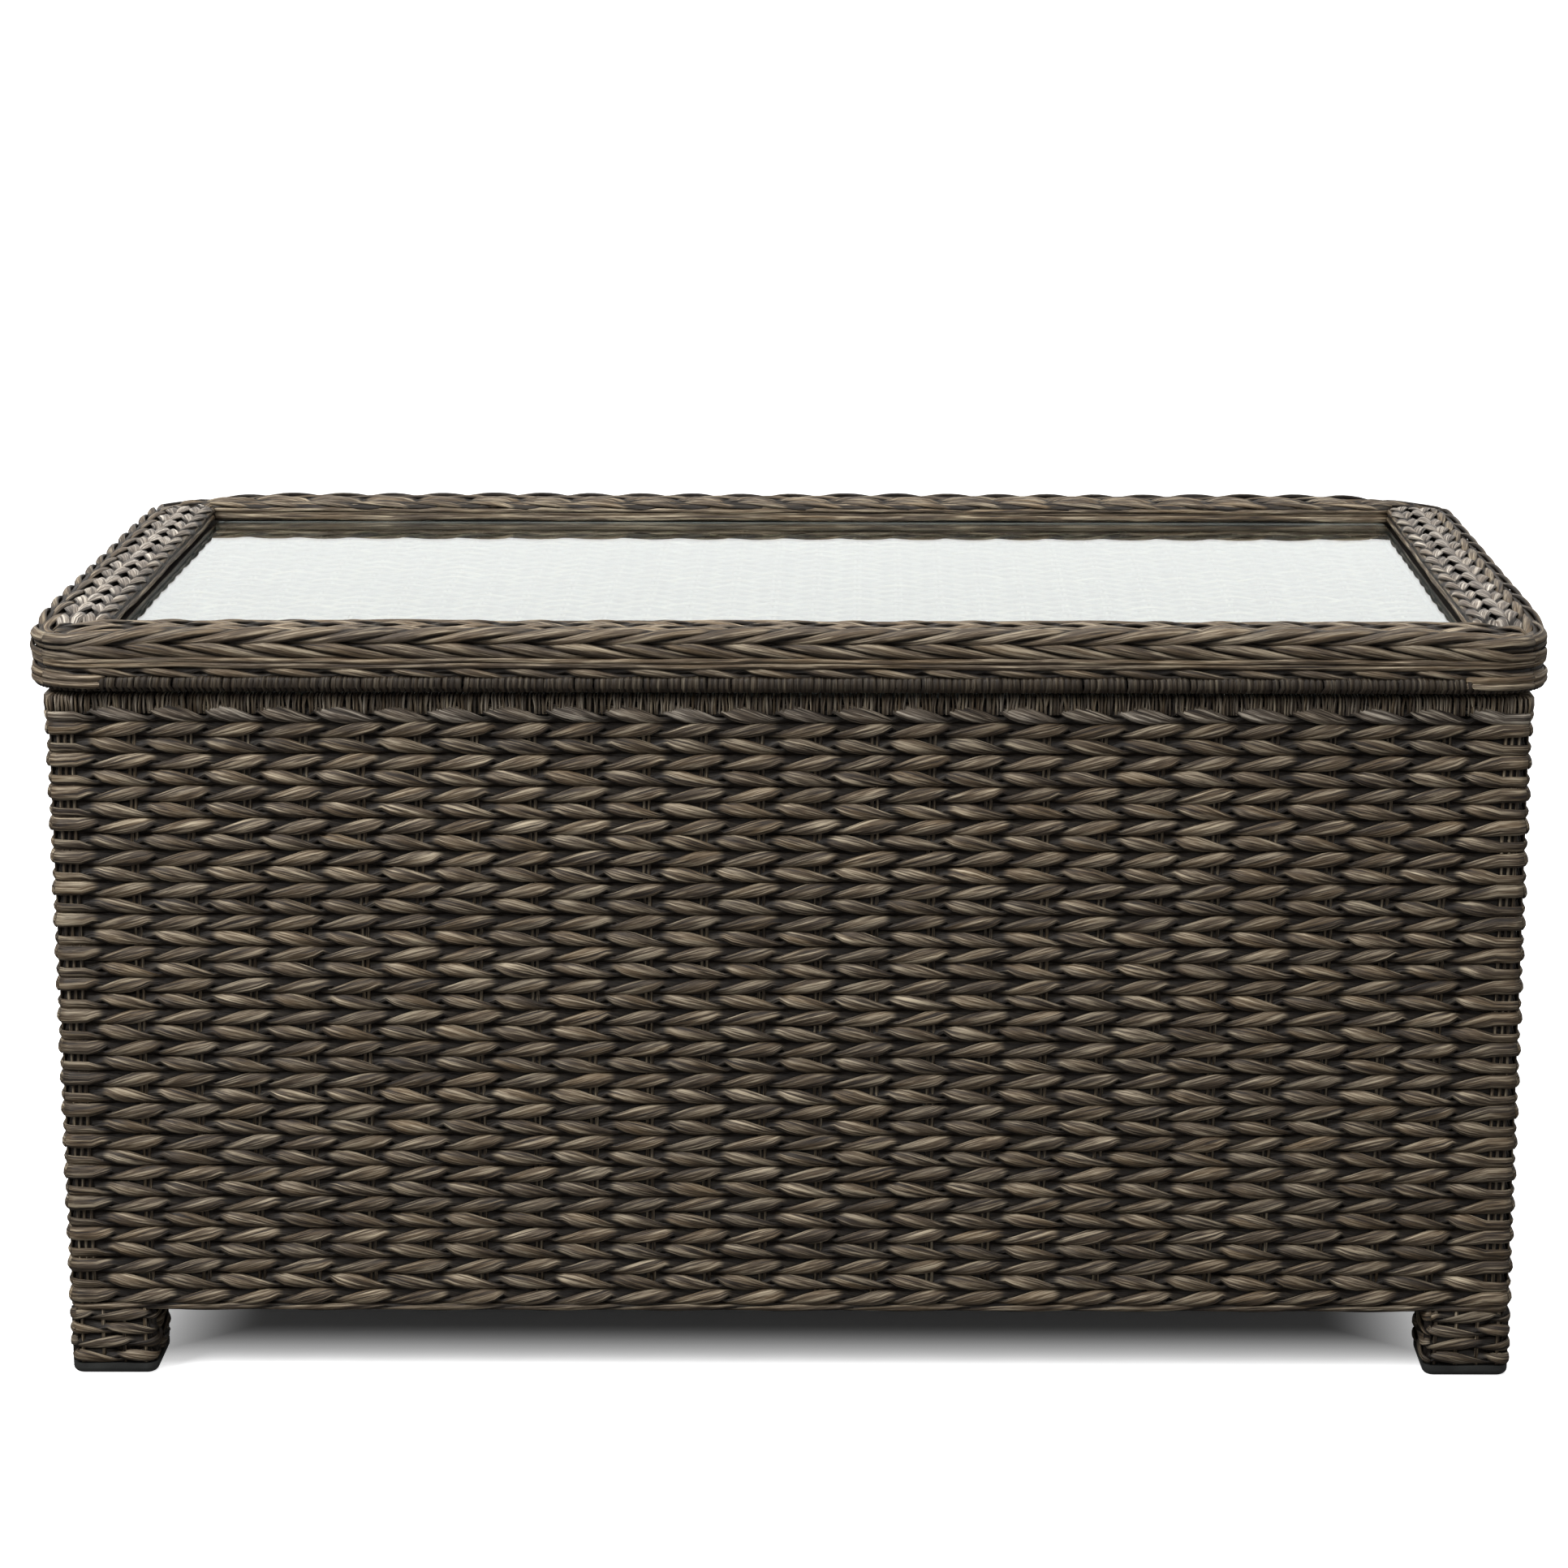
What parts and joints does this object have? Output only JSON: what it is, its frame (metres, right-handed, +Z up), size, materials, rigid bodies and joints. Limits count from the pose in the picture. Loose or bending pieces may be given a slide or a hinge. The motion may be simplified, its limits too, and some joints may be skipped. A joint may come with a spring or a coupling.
{
  "type": "wicker coffee table",
  "caption": "Rectangular wicker storage chest used as a coffee table; its braided, glass-topped lid lifts on rear hinges and gas struts, and it stands on short square legs.",
  "frame": {"origin": "on the floor under the middle of the lid", "axes": "+X along the long side, +Y towards the hinged back, +Z up"},
  "size_m": [1.08, 0.62, 0.558],
  "materials": {
    "resin_wicker": "matte",
    "coated_steel": "satin",
    "black_plastic": "satin",
    "grey_board": "matte",
    "tempered_glass": "polished",
    "rubber": "matte",
    "zinc_plated_steel": "satin",
    "grey_painted_steel": "satin",
    "chromed_steel": "polished"
  },
  "bodies": {
    "chest": {"wall_front": "resin_wicker", "wall_back": "resin_wicker", "wall_left": "resin_wicker", "wall_right": "resin_wicker", "rim_wrap": "resin_wicker", "leg_sleeve_front_left": "resin_wicker", "leg_sleeve_front_right": "resin_wicker", "leg_sleeve_back_left": "resin_wicker", "leg_sleeve_back_right": "resin_wicker", "post_front_left": "coated_steel", "post_front_right": "coated_steel", "post_back_left": "coated_steel", "post_back_right": "coated_steel", "top_rail_front": "coated_steel", "top_rail_back": "coated_steel", "top_rail_left": "coated_steel", "top_rail_right": "coated_steel", "bottom_rail_front": "coated_steel", "bottom_rail_back": "coated_steel", "bottom_rail_left": "coated_steel", "bottom_rail_right": "coated_steel", "base_bar": "coated_steel", "foot_front_left": "black_plastic", "foot_front_right": "black_plastic", "foot_back_left": "black_plastic", "foot_back_right": "black_plastic", "base_board": "grey_board", "rim_buffer_left": "rubber", "rim_buffer_right": "rubber", "hinge_chest_leaf_left": "zinc_plated_steel", "hinge_chest_leaf_right": "zinc_plated_steel", "hinge_pin_left": "zinc_plated_steel", "hinge_pin_right": "zinc_plated_steel", "strut_plate_chest_left": "zinc_plated_steel", "strut_plate_chest_right": "zinc_plated_steel"},
    "lid": {"lid_border_front": "resin_wicker", "lid_border_back": "resin_wicker", "lid_border_left": "resin_wicker", "lid_border_right": "resin_wicker", "lid_panel": "resin_wicker", "lid_rail_front": "coated_steel", "lid_rail_back": "coated_steel", "lid_rail_left": "coated_steel", "lid_rail_right": "coated_steel", "glass_top": "tempered_glass", "glass_gasket": "rubber", "hinge_lid_leaf_left": "zinc_plated_steel", "hinge_lid_leaf_right": "zinc_plated_steel", "strut_plate_lid_left": "zinc_plated_steel", "strut_plate_lid_right": "zinc_plated_steel"},
    "strut_cylinder_left": {"strut_cylinder_left": "grey_painted_steel", "strut_cylinder_socket_left": "black_plastic"},
    "strut_rod_left": {"strut_rod_left": "chromed_steel", "strut_rod_socket_left": "black_plastic"},
    "strut_cylinder_right": {"strut_cylinder_right": "grey_painted_steel", "strut_cylinder_socket_right": "black_plastic"},
    "strut_rod_right": {"strut_rod_right": "chromed_steel", "strut_rod_socket_right": "black_plastic"}
  },
  "joints": [
    {"name": "lid_hinge", "type": "hinge", "parent": "chest", "child": "lid", "pos_m": [0, 0.3015, 0.512], "axis": [-1, 0, 0], "range_deg": [0, 65]},
    {"name": "strut_cylinder_left_pivot", "type": "hinge", "parent": "chest", "child": "strut_cylinder_left", "pos_m": [-0.4794, 0.25403, 0.34356], "axis": [-1, 0, 0], "range_deg": [0, 32.5]},
    {"name": "strut_rod_left_pivot", "type": "hinge", "parent": "lid", "child": "strut_rod_left", "pos_m": [-0.4794, 0.12698, 0.499], "axis": [-1, 0, 0], "range_deg": [-32.5, 0]},
    {"name": "strut_cylinder_right_pivot", "type": "hinge", "parent": "chest", "child": "strut_cylinder_right", "pos_m": [0.4794, 0.25403, 0.34356], "axis": [-1, 0, 0], "range_deg": [0, 32.5]},
    {"name": "strut_rod_right_pivot", "type": "hinge", "parent": "lid", "child": "strut_rod_right", "pos_m": [0.4794, 0.12698, 0.499], "axis": [-1, 0, 0], "range_deg": [-32.5, 0]}
  ],
  "couplings": [
    {"joint": "strut_cylinder_left_pivot", "follows": "lid_hinge", "ratio": 0.5},
    {"joint": "strut_rod_left_pivot", "follows": "lid_hinge", "ratio": -0.5},
    {"joint": "strut_cylinder_right_pivot", "follows": "lid_hinge", "ratio": 0.5},
    {"joint": "strut_rod_right_pivot", "follows": "lid_hinge", "ratio": -0.5}
  ]
}
